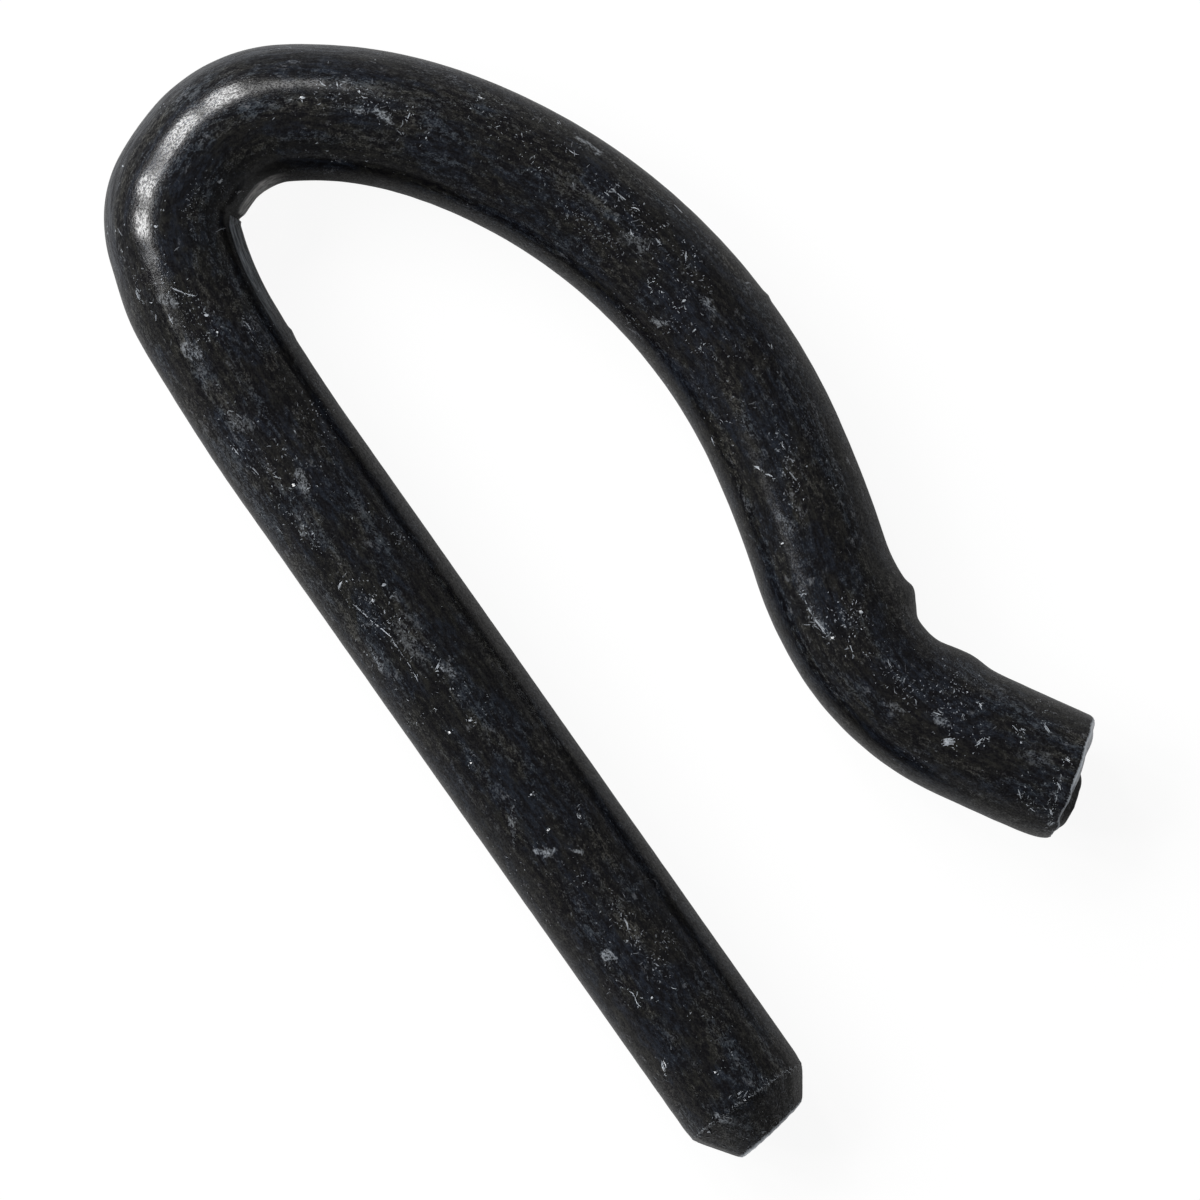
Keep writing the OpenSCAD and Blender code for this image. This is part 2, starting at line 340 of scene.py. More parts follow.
class CoatLook(bpy.types.PropertyGroup):
    black: colour("Coating", "Colour of the black coating", (0.0028, 0.0027, 0.0036))
    bluish: colour("Bluish cloud", "Colour of the bluish clouds", (0.0088, 0.0114, 0.0172))
    brownish: colour("Brownish cloud", "Colour of the brownish clouds", (0.0112, 0.0110, 0.0096))
    dusty_cool: colour("Cool dust", "Colour of dust in bluish patches", (0.043, 0.051, 0.060))
    dusty_warm: colour("Warm dust", "Colour of dust in brownish patches", (0.050, 0.049, 0.044))
    # The fleck colour is also painted on the flat strip inside the hairpin as a reflection, and on
    # the kink as a highlight
    fleck: colour("Flecks", "Colour of the pale flecks and hairs", (0.50, 0.54, 0.59))
    scuff: colour("Scuffs", "Colour of the grey rubbed places", (0.075, 0.079, 0.087))
    # This steel colour is also painted on the strip inside the hairpin and on the sheared end's rim,
    # as the reflection of the light there
    bare: colour("Bare steel", "Colour of steel where the coating has gone", (0.78, 0.77, 0.75))
    wear: share("Wear", "Amount of flecks, hairs and scuffs", 1.0, 2.0)
    rough: share("Roughness", "Roughness of the coating", 0.18)


class StageLook(bpy.types.PropertyGroup):
    floor: colour("Floor", "Colour of the floor", (0.95, 0.95, 0.95))
    bounce: colour("Bounce", "Colour of the floor in the coating's gloss", (0.155, 0.155, 0.155))
    in_gloss: share("White in gloss", "How white the floor is in reflections", 0.05)
    floor_size: length("Floor size", "Width of the floor", 2400.0, 400.0, 8000.0)
    lighten: share("Shadow lightening", "How far the floor's shadows are lightened", 0.93)
    softbox: bpy.props.FloatProperty(name="Softbox power", description="Power of a whole panel",
                                     default=1.0, min=0.0, unit="POWER")
    sky: share("Surroundings", "Brightness of the room above", 0.09)


# The rod's path and surface marks, in millimetres

class Stretch(NamedTuple):
    """A stretch of rod: start place, heading, length before, centreline radius and turn."""
    x: float
    y: float
    heading: float
    run: float
    radius: float
    turn: float


def path_pieces(arm_end):
    """The stretches of the bent rod, the straight arm last, and the rod's whole length."""
    x, y, heading, run = -SHANK_BACK, 0.0, math.pi, 0.0
    pieces = []
    for inside_r, degrees in BENDS.values():
        radius, turn = inside_r + ROD_R, math.radians(degrees)
        pieces.append(Stretch(x, y, heading, run, radius, turn))
        side = math.copysign(radius, turn)
        x += side * (math.sin(heading + turn) - math.sin(heading))
        y -= side * (math.cos(heading + turn) - math.cos(heading))
        heading += turn
        run += radius * abs(turn)
    pieces.append(Stretch(x, y, heading, run, 0.0, 0.0))
    return pieces, run + arm_end


def start_of(name, bends):
    """Length along the rod at which the named bend starts."""
    return bends[list(BENDS).index(name)].run


def place_at(pieces, t):
    """Place and heading at length t along the rod; the shank has negative lengths."""
    if t <= 0:
        return -SHANK_BACK - t, 0.0, math.pi
    piece = [p for p in pieces if p.run <= t][-1]
    past, heading = t - piece.run, piece.heading
    if piece.radius == 0:
        return piece.x + past * math.cos(heading), piece.y + past * math.sin(heading), heading
    turned = heading + math.copysign(past / piece.radius, piece.turn)
    side = math.copysign(piece.radius, piece.turn)
    return (piece.x + side * (math.sin(turned) - math.sin(heading)),
            piece.y - side * (math.cos(turned) - math.cos(heading)), turned)


def hump(x, reach):
    """A smooth hump, 1 high at 0."""
    return np.exp(-(x / reach) ** 2)


def step_up(x, reach):
    """A smooth step from 0 to 1 about 0."""
    return 1 / (1 + np.exp(-4 * x / reach))


def ripple(t, a, seed, waves, low, high):
    """Seeded smooth unevenness over the rod, about 1 high."""
    draw = np.random.default_rng(seed)
    out = np.zeros(np.broadcast(t, a).shape)
    for _ in range(waves):
        k = draw.uniform(low, high)
        turns = draw.integers(-6, 7)
        out += np.sin(k * t + turns * a + draw.uniform(0, 2 * math.pi))
    return out / math.sqrt(waves)


def surface_marks(t, a, shape, bends, rod_end):
    """Height of the marks over the plain rod; angle a is 0 on the left of travel, 90 on top."""
    right, left = np.maximum(0, -np.cos(a)), np.maximum(0, np.cos(a))
    crease_at, lip_at = start_of("crown", bends), start_of("kink", bends) - LIP_BEFORE_KINK
    swell_at = 0.5 * (start_of("second tight bend", bends) + start_of("shoulder", bends))
    dent_from = lip_at + IMPRINT_AFTER_LIP
    dent_to = dent_from + IMPRINT_LONG
    swell = shape["swell"] * hump(t - swell_at, SWELL_REACH)
    crease = hump(t - crease_at - CREASE_LEAN * np.sin(a), CREASE_REACH)
    inside = swell - (shape["crease"] + swell) * crease
    outer = sum(high * hump(t - start_of(name, bends) - past, reach)
                for name, past, high, reach in SWELLINGS)
    before_lip = 0.5 * hump(t - lip_at, LIP_NEAR) + 0.5 * hump(t - lip_at, LIP_FAR)
    lip = np.where(t < lip_at, before_lip, hump(t - lip_at, LIP_AFTER))
    heel = HEEL_SHARE * hump(t - dent_to - HEEL_AFTER_IMPRINT, HEEL_REACH)
    rims = shape["lip"] * (lip + heel)
    dent = shape["imprint"] * step_up(t - dent_from, 0.4) * step_up(dent_to - t, 0.7)
    unevenness = sum(high * ripple(t, a, seed, 9, low, quick)
                     for high, seed, low, quick in UNEVENNESS)
    flat = (FLAT_DEEP * step_up(crease_at - 0.12 - t, 0.1) * hump(right - 0.85, 0.04)
            * hump(np.maximum(0, crease_at - FLAT_BEFORE_CREASE - t), FLAT_REACH))
    lumps = sum(LUMP_HIGH * hump(t - lump_at, LUMP_REACH) * hump(np.cos(a) - side, 0.06)
                for lump_at, side in LUMPS)
    from_tip = t + SHANK_BACK + shape["tip"]
    fade = step_up(from_tip - 0.53, 0.6) * step_up(rod_end - 0.5 - t, 0.6)
    drag = DRAG_DEEP * np.exp(np.minimum(0, t - rod_end) / DRAG_REACH)
    return (inside * right ** 4 + outer * left ** 2 + rims * left ** 4 - dent * left ** 8
            - drag * right ** 2 + (unevenness - 0.002) * fade + lumps - flat)


def ring_places(bends, shape, count):
    """Lengths along the rod of its rings, closer where the form turns or steps quickly."""
    rod_end, tip_at = shape["rod_end"], -SHANK_BACK - shape["tip"]
    crease_at, lip_at = start_of("crown", bends), start_of("kink", bends) - LIP_BEFORE_KINK
    closer = [(tip_at + 0.6, 3.0, 0.75), (crease_at, 1.2, 3.0), (crease_at, 3.0, 0.5),
              (lip_at + 0.7, 1.6, 1.2), (rod_end, 2.0, 0.5)]
    t = np.linspace(tip_at, rod_end, 4000)
    density = 1 + sum(more * hump(t - place, reach) for place, more, reach in closer)
    total = np.concatenate([[0], np.cumsum((density[1:] + density[:-1]) / 2 * np.diff(t))])
    return np.interp(np.linspace(0, total[-1], count), total, t)


def chamfer_cone(a, r, shape):
    """Length along the rod at which the chamfer's cone reaches radius r; its axis sits low."""
    cone = np.hypot(r * np.cos(a), r * np.sin(a) + CHAMFER_LOW)
    rise = (ROD_R + CHAMFER_PROUD - cone) / math.tan(shape["chamfer_angle"])
    return -SHANK_BACK - (shape["tip"] - shape["chamfer"] + rise)


def face_rim(a, shape):
    """Length and radius at which the chamfer's cone meets the slanted tip face."""
    tip_t, slant = -SHANK_BACK - shape["tip"], math.tan(shape["tip_slant"])
    small, large = np.full_like(a, 0.3), np.full_like(a, ROD_R)
    for _ in range(30):
        r = (small + large) / 2
        outside = chamfer_cone(a, r, shape) > tip_t - r * np.cos(a) * slant
        large, small = np.where(outside, r, large), np.where(outside, small, r)
    return tip_t - r * np.cos(a) * slant, r


def rod_ring(bends, t, a, r):
    """Points of a ring; t, the length along the rod, may differ from point to point."""
    out = []
    for t_k, a_k, r_k in zip(t, a, r):
        x, y, heading = place_at(bends, t_k)
        side = r_k * math.cos(a_k)
        out.append((x - math.sin(heading) * side, y + math.cos(heading) * side,
                    r_k * math.sin(a_k)))
    return np.array(out)


def sheared_reach(r, a):
    """How far the sheared end reaches along the rod, past a square cut."""
    side, up = r * np.cos(a), r * np.sin(a)
    crags = (0.022 * ripple(5.0 * side + 2.0 * up, 0 * a, 21, 7, 0.8, 2.6)
             + 0.018 * ripple(6.0 * up, 0 * a, 22, 7, 0.8, 2.6))
    lobe = (LOBE_REACH * step_up(-up - 0.25 + 0.12 * np.sin(4 * side), 0.40)
            * step_up(0.27 - side, 0.36) * step_up(side + 1.12, 0.40))
    foot = FOOT_REACH * step_up(-up - 0.5, 0.6) * step_up(side - 0.2, 0.4)
    ledge = 0.02 + LEDGE_REACH * step_up(side + 0.10, 0.5) * step_up(up + 0.4, 0.6)
    rim_bite = 0.022 * ripple(a, 0 * a, 23, 9, 3.0, 14.0) * hump(r - ROD_R, 0.12)
    within = ROD_R - r
    face = (crags + lobe + foot) * step_up(within - 0.05, 0.2) + ledge * step_up(within - 0.045, 0.05)
    rim = (lobe + foot) * step_up(0.05 - within, 0.2) - rim_bite
    return face + rim - side * math.tan(SHEAR_SKEW) - SHEAR_BACK


def under_picture_point(point, shape):
    """Length along the rod, and angle round it, of the skin under a point of the photograph."""
    step = VIEW_WIDTH / PHOTO_POINTS
    u, v = (point[0] - PHOTO_POINTS / 2) * step, (PHOTO_POINTS / 2 - point[1]) * step
    up = ROD_R
    for _ in range(3):
        nearer = 1 - up / CAMERA_HEIGHT
        x = VIEW_MIDDLE[0] + nearer * (u * math.cos(VIEW_TURN) - v * math.sin(VIEW_TURN))
        y = VIEW_MIDDLE[1] + nearer * (u * math.sin(VIEW_TURN) + v * math.cos(VIEW_TURN))
        places = shape["middle_line"]
        t, x0, y0, heading = places[np.argmin(np.hypot(places[:, 1] - x, places[:, 2] - y))]
        side = (y - y0) * math.cos(heading) - (x - x0) * math.sin(heading)
        up = math.sqrt(max(0.0, ROD_R ** 2 - side ** 2))
    return t, math.atan2(up, side)


def placed(marks, shape):
    """Marks as (t, angle, t, angle, width in mm, strength or count)."""
    out = []
    for start, end, width, strength in marks.values():
        out.append((*under_picture_point(start, shape), *under_picture_point(end, shape),
                    width * VIEW_WIDTH / PHOTO_POINTS, strength))
    return out


def chipped(draw, mark):
    """A placed mark as the strands and specks that it is made of."""
    t0, a0, t1, a1, width, strength = mark
    dt, dc = t1 - t0, (a1 - a0) * ROD_R
    long = max(0.02, math.hypot(dt, dc))
    if long < 1.6 * width:
        dot = (t0, a0, t1, a1, 0.85 * width, strength)
        return [dot] + [small_fleck(draw, t0 + draw.normal(0, 0.07), a0 + draw.normal(0, 0.05),
                                    0.6 * strength) for _ in range(4)]
    strands = max(1, round(width / CHIP_PITCH))
    out = []
    for k in range(strands):
        off = ((k + 0.5) / strands - 0.5) * width * 0.85
        from_f, to_f = (0.0, 1.0) if strands == 1 else (draw.uniform(0, 0.35), draw.uniform(0.65, 1))
        ends = []
        for f in (from_f, to_f):
            ends += [t0 + dt * f - dc / long * off, a0 + (dc * f + dt / long * off) / ROD_R]
        out.append((*ends, draw.uniform(*CHIP_WIDTHS), strength * draw.uniform(0.70, 1.0)))
    for _ in range(3 + 2 * strands):
        f, off = draw.uniform(-0.3, 1.3), draw.normal(0, 0.5 * width + 0.035)
        out.append(small_fleck(draw, t0 + dt * f - dc / long * off,
                               a0 + (dc * f + dt / long * off) / ROD_R, 0.7 * strength))
    return out


def small_fleck(draw, t, a, level):
    """A dot or a short stroke at t, a; most are small and faint."""
    long = min(FLECK_LONGEST, FLECK_LONG * math.exp(draw.normal(0, 0.65)))
    turn = draw.uniform(0, math.pi)
    dt, da = long * math.cos(turn), long * math.sin(turn) / ROD_R
    width = draw.uniform(*FLECK_WIDTHS)
    return t, a, t + dt, a + da, width, level * draw.uniform(0.35, 1.0)


def scattered_flecks(shape):
    """Seeded flecks in clusters, in the patches, loose, and on the chamfer and its ridge."""
    draw = np.random.default_rng(41)
    low, high = -SHANK_BACK - shape["tip"] + 0.25, shape["rod_end"] - 0.5
    out = []

    def add(t, a, level):
        """Adds a fleck, and fewer on the rod's sides."""
        if low < t < high and draw.uniform() < 0.30 + 0.70 * abs(math.sin(a)):
            out.append(small_fleck(draw, t, a, level))

    for _ in range(shape["clusters"]):
        t, a = draw.uniform(low, high), draw.uniform(0, 2 * math.pi)
        reach_t, reach_a = draw.uniform(0.12, 0.65), draw.uniform(0.06, 0.26)
        level = 0.25 + 0.75 * draw.beta(1.2, 2.6)
        for _ in range(3 + int(draw.exponential(14))):
            add(t + draw.normal(0, reach_t), a + draw.normal(0, reach_a), level)
    for t0, a0, t1, a1, width, count in placed(PATCHES_AND_SPARKLE, shape):
        for _ in range(count):
            f, t_off, a_off = draw.uniform(), draw.normal(0, width / 3), draw.normal(0, width / 3)
            t, a = t0 + (t1 - t0) * f + t_off, a0 + (a1 - a0) * f + a_off / ROD_R
            out.append(small_fleck(draw, t, a, 0.2 + 0.8 * draw.beta(1, 2)))
    for _ in range(shape["loose"]):
        add(draw.uniform(low, high), draw.uniform(0, 2 * math.pi), 0.12 + 0.5 * draw.beta(1, 4))
    for _ in range(RIDGE_FLECKS):
        a = draw.choice((0, math.pi)) + draw.uniform(0.4, math.pi - 0.4)
        add(chamfer_cone(a, ROD_R, shape) + draw.normal(0, 0.05), a, draw.uniform(0.25, 0.8))
    for _ in range(CHAMFER_FLECKS):
        a, level = draw.uniform(0, 2 * math.pi), 0.15 + 0.65 * draw.beta(1.0, 2.2)
        rim, ridge = face_rim(np.array([a]), shape)[0][0] + 0.05, chamfer_cone(a, ROD_R, shape)
        out.append(small_fleck(draw, rim + (ridge - rim) * draw.beta(0.8, 1.3), a, level))
    return out


def skin_radius(t, a, shape, bends):
    """Radius of the coating's skin at length t, on the walls and on the chamfer."""
    ridge = chamfer_cone(a, ROD_R, shape)
    wall = ROD_R + surface_marks(t, a, shape, bends, shape["rod_end"])
    wall = wall - RIDGE_ROLL * hump(np.maximum(0, t - ridge), RIDGE_REACH)
    past = -SHANK_BACK - t - shape["tip"] + shape["chamfer"]
    cone = ROD_R + CHAMFER_PROUD - past * math.tan(shape["chamfer_angle"])
    across = np.sqrt(np.maximum(0.01, cone ** 2 - (CHAMFER_LOW * np.cos(a)) ** 2))
    return np.where(t < ridge, across - CHAMFER_LOW * np.sin(a) + 0.008, wall)


def fleck_strips(shape, bends):
    """Thin ragged flakes that lie on the coating, a few of them a painted highlight: points, faces,
    coordinates and strength.
    """
    draw = np.random.default_rng(43)
    t_all, a_all, strengths, faces = [], [], [], []
    count = 0
    strips = [strip for mark in placed(FLECKS_AND_GLINTS, shape) for strip in chipped(draw, mark)]
    for t0, a0, t1, a1, width, strength in strips + scattered_flecks(shape):
        long = max(0.02, math.hypot(t1 - t0, (a1 - a0) * ROD_R))
        rows = max(3, int(long / FLAKE_ROW) + 2)
        f = np.linspace(0, 1, rows)
        bow = draw.normal(0, 0.08) * long * 4 * f * (1 - f)
        half = width / 2 * (0.30 + 0.85 * np.sin(math.pi * f) ** 0.6)
        along_t, along_a = (t1 - t0) / long, (a1 - a0) * ROD_R / long
        for k in range(rows):
            patchy = draw.uniform(0.60, 1.0)
            for side in (-1, 0, 1):
                off = bow[k] + side * half[k] * draw.uniform(0.55, 1.25)
                t_all.append(t0 + (t1 - t0) * f[k] - along_a * off)
                a_all.append(a0 + (a1 - a0) * f[k] + along_t * off / ROD_R)
                strengths.append(strength * patchy)
        for k in range(rows - 1):
            if rows > 4 and draw.uniform() < FLAKE_GAPS:
                continue
            for side in (0, 1):
                first = count + 3 * k + side
                faces.append((first, first + 1, first + 4, first + 3))
        count += 3 * rows
    t, a = np.array(t_all), np.array(a_all)
    r = skin_radius(t, a, shape, bends) + FLAKE_LIFT
    coords = np.stack([t, r * np.cos(a), r * np.sin(a)], axis=-1)
    return rod_ring(bends, t, a, r), faces, coords, np.array(strengths)


def clip_mesh(shape):
    """Vertices, faces, straightened-rod coordinates, edge wear with a painted reflection on the
    sheared end, and flecks, a few of them a painted highlight, of the whole rod.
    """
    bends, rod_end = shape["bends"], shape["rod_end"]
    n = shape["sides"]
    a = np.arange(n) * 2 * math.pi / n
    points, coords, worn = [], [], []

    def add(t, r, edge):
        t = t + 0 * a
        points.append(rod_ring(bends, t, a, r))
        coords.append(np.stack([t, r * np.cos(a), r * np.sin(a)], axis=-1))
        worn.append(edge + 0 * a)

    # The sawn tip face from its middle out, then the chamfer up to its ridge
    rough_edge = 0.012 * ripple(a, 0 * a, 31, 9, 4.0, 22.0)
    rim_t, rim_r = face_rim(a, shape)
    rim_t = rim_t + 0.35 * rough_edge
    ridge_t = chamfer_cone(a, ROD_R, shape) + 1.6 * rough_edge
    slant = math.tan(shape["tip_slant"])
    tip_t = -SHANK_BACK - shape["tip"]
    for f in TIP_FACE_STEPS:
        r = np.maximum(rim_r * f, 0.002)
        saw = 0.010 * ripple(7 * r * np.sin(a), 0 * a, 33, 6, 0.5, 2.5)
        add(tip_t - r * np.cos(a) * slant + saw + 0.015 * f ** 8, r, 0.15 + 0.85 * f ** 16)
    for f in np.linspace(0.0, 1.0, CHAMFER_STEPS):
        dish = (0.030 * ripple(6 * a, 0 * a, 34, 5, 0.4, 1.6) * f * (1 - f)
                - 0.022 * hump(f, 0.07) - RIDGE_ROLL * hump(1 - f, 0.13))
        edge = 0.36 + max(1.20 * hump(f, 0.06), 0.27 * hump(1 - f, 0.09))
        add(rim_t + (ridge_t - rim_t) * f, rim_r + (ROD_R - rim_r) * f + dish, edge)

    # The walls of the rod
    first = ridge_t.max()
    for t in ring_places(bends, shape, shape["rings"]):
        lead = t - first
        if lead < 0.03:
            continue
        ring_t = t - (first - ridge_t) * math.exp(-lead / 0.25)
        r = (ROD_R + surface_marks(ring_t, a, shape, bends, rod_end) * min(1.0, lead / 0.2)
             - RIDGE_ROLL * hump(lead, RIDGE_REACH))
        to_end = rod_end - t
        pull = max(0.0, 1 - max(0.0, to_end - END_ROUND) / SHEAR_PULL) ** 2
        if to_end < END_ROUND:
            r = r - 0.02 * (1 - math.sqrt(max(0.0, 1 - (1 - to_end / END_ROUND) ** 2)))
        ring_t = ring_t + sheared_reach(r, a) * pull
        edge = max(0.63 * math.exp(-lead / 0.14), 0.42 * math.exp(-lead / 0.6),
                   math.exp(-to_end / 0.06), 0.45 * math.exp(-to_end / 0.45))
        add(ring_t, r, edge)

    # The sheared face, from its rim in
    last = r
    for f in SHEARED_FACE_STEPS:
        r = np.maximum(last * f, 0.002)
        # Painted reflection: a pale strip on the sheared face's rim, set high in the edge wear so
        # that it takes the steel colour; partly uncoated steel, partly the light reflected there
        bare = (1.3 * step_up(r * np.cos(a) + 0.15, 0.4) * step_up(r * np.sin(a) + 0.1, 0.5)
                * step_up(r - 1.22, 0.15))
        add(rod_end + sheared_reach(r, a) + 0.012, r,
            np.maximum(0.38 + bare, hump(1 - f, 0.05)))

    count = len(points)
    faces = []
    for j in range(count - 1):
        base = j * n
        for k in range(n):
            m = (k + 1) % n
            faces.append((base + k, base + n + k, base + n + m, base + m))
    faces.append(tuple(range(n)))
    faces.append(tuple((count - 1) * n + k for k in reversed(range(n))))
    flake_points, flake_faces, flake_coords, strengths = fleck_strips(shape, bends)
    faces += [tuple(count * n + corner for corner in face) for face in flake_faces]
    return {
        "points": np.concatenate(points + [flake_points]),
        "faces": faces,
        "rod_coords": np.concatenate(coords + [flake_coords]),
        "worn_edge": np.concatenate(worn + [0 * strengths]),
        "fleck": np.concatenate([np.zeros(count * n), strengths]),
    }


# Shader maths written as expressions

class Value:
    """A socket that adds Math nodes when it is used in an expression."""

    def __init__(self, maker, socket):
        self.maker, self.socket = maker, socket

    def _math(self, operation, *others):
        node = self.maker.node("ShaderNodeMath", {"operation": operation},
                               dict(enumerate((self,) + others)))
        return Value(self.maker, node.outputs[0])

    def __add__(self, other):
        return self._math("ADD", other)

    def __sub__(self, other):
        return self._math("SUBTRACT", other)

    def __mul__(self, other):
        return self._math("MULTIPLY", other)

    def __truediv__(self, other):
        return self._math("DIVIDE", other)

    def __pow__(self, other):
        return self._math("POWER", other)

    def __neg__(self):
        return self._math("MULTIPLY", -1.0)

    __radd__, __rmul__ = __add__, __mul__

    def __rsub__(self, other):
        return self.maker.number(other)._math("SUBTRACT", self)

    def __rtruediv__(self, other):
        return self.maker.number(other)._math("DIVIDE", self)

    def most(self, other):
        return self._math("MAXIMUM", other)

    def size(self):
        return self._math("ABSOLUTE")

    def angle_to(self, other):
        return self._math("ARCTAN2", other)

    def ramp(self, low, high, to_low=0.0, to_high=1.0):
        """Smooth step from to_low at low to to_high at high."""
        node = self.maker.node(
            "ShaderNodeMapRange", {"interpolation_type": "SMOOTHSTEP", "clamp": True},
            {"Value": self, "From Min": low, "From Max": high, "To Min": to_low,
             "To Max": to_high})
        return Value(self.maker, node.outputs["Result"])


class Shader:
    """Adds nodes to one material or world."""

    def __init__(self, tree):
        self.tree = tree
        tree.nodes.clear()

    def node(self, kind, settings=None, inputs=None):
        node = self.tree.nodes.new(kind)
        for key, value in (settings or {}).items():
            setattr(node, key, value)
        for key, value in (inputs or {}).items():
            self.feed(node.inputs[key], value)
        return node

    def feed(self, socket, value):
        if isinstance(value, Value):
            value = value.socket
        if isinstance(value, bpy.types.NodeSocket):
            self.tree.links.new(value, socket)
        elif isinstance(value, (tuple, list)) and socket.type == "RGBA" and len(value) == 3:
            socket.default_value = (*value, 1.0)
        else:
            socket.default_value = value

    def number(self, x):
        node = self.node("ShaderNodeValue")
        node.outputs[0].default_value = x
        return Value(self, node.outputs[0])

    def vector(self, operation, *values):
        """The first output of a Vector Math node."""
        return self.node("ShaderNodeVectorMath", {"operation": operation},
                         dict(enumerate(values))).outputs[0]

    def stretch(self, vector, factors, shift):
        return self.vector("MULTIPLY_ADD", vector, factors, shift)

    def dot(self, a, b):
        node = self.node("ShaderNodeVectorMath", {"operation": "DOT_PRODUCT"}, {0: a, 1: b})
        return Value(self, node.outputs["Value"])

    def attribute(self, name, output="Fac"):
        return self.node("ShaderNodeAttribute", {"attribute_name": name}).outputs[output]

    def noise(self, vector, factors, shift, scale, detail, roughness):
        """Noise over the vector, stretched by the factors and then shifted."""
        node = self.node("ShaderNodeTexNoise", {}, {
            "Vector": self.stretch(vector, factors, shift), "Scale": scale, "Detail": detail,
            "Roughness": roughness})
        return Value(self, node.outputs["Fac"])

    def noise_vector(self, vector, scale):
        node = self.node("ShaderNodeTexNoise", {}, {"Vector": vector, "Scale": scale})
        return node.outputs["Color"]

    def mix(self, factor, a, b):
        node = self.node("ShaderNodeMix", {"data_type": "RGBA", "clamp_factor": True},
                         {0: factor, 6: a, 7: b})
        return node.outputs[2]


def seen_white(maker, look):
    """How far a ray sees plain white, and whether it is a reflection."""
    rays = maker.node("ShaderNodeLightPath").outputs
    direct = Value(maker, rays["Is Camera Ray"]).most(Value(maker, rays["Is Transmission Ray"]))
    glossy = Value(maker, rays["Is Glossy Ray"])
    return direct.most(glossy * look["in_gloss"]), glossy


def scuff_mask_of(maker, scuffs, along, across, wobble):
    """Mask of the placed rubbed places and the painted kink highlight, with wandering outlines."""
    here = maker.node("ShaderNodeCombineXYZ", {}, {0: along, 1: across}).outputs[0]
    here = maker.vector("ADD", here, wobble)
    total = None
    for t0, a0, t1, a1, wide, strength in scuffs:
        start, end = [(a - math.pi / 2) * ROD_R for a in (a0, a1)]
        long = math.hypot(t1 - t0, end - start)
        way_along, way_across = (t1 - t0) / long, (end - start) / long
        long += wide * 0.6
        off = maker.vector("SUBTRACT", here, ((t0 + t1) / 2, (start + end) / 2, 0.0))
        lengthwise = maker.dot(off, (2 * way_along / long, 2 * way_across / long, 0.0))
        sideways = maker.dot(off, (-2 * way_across / wide, 2 * way_along / wide, 0.0))
        mask = (lengthwise * lengthwise + sideways * sideways).ramp(1.5, 0.4, 0.0, strength)
        total = total.most(mask) if total else mask
    return total


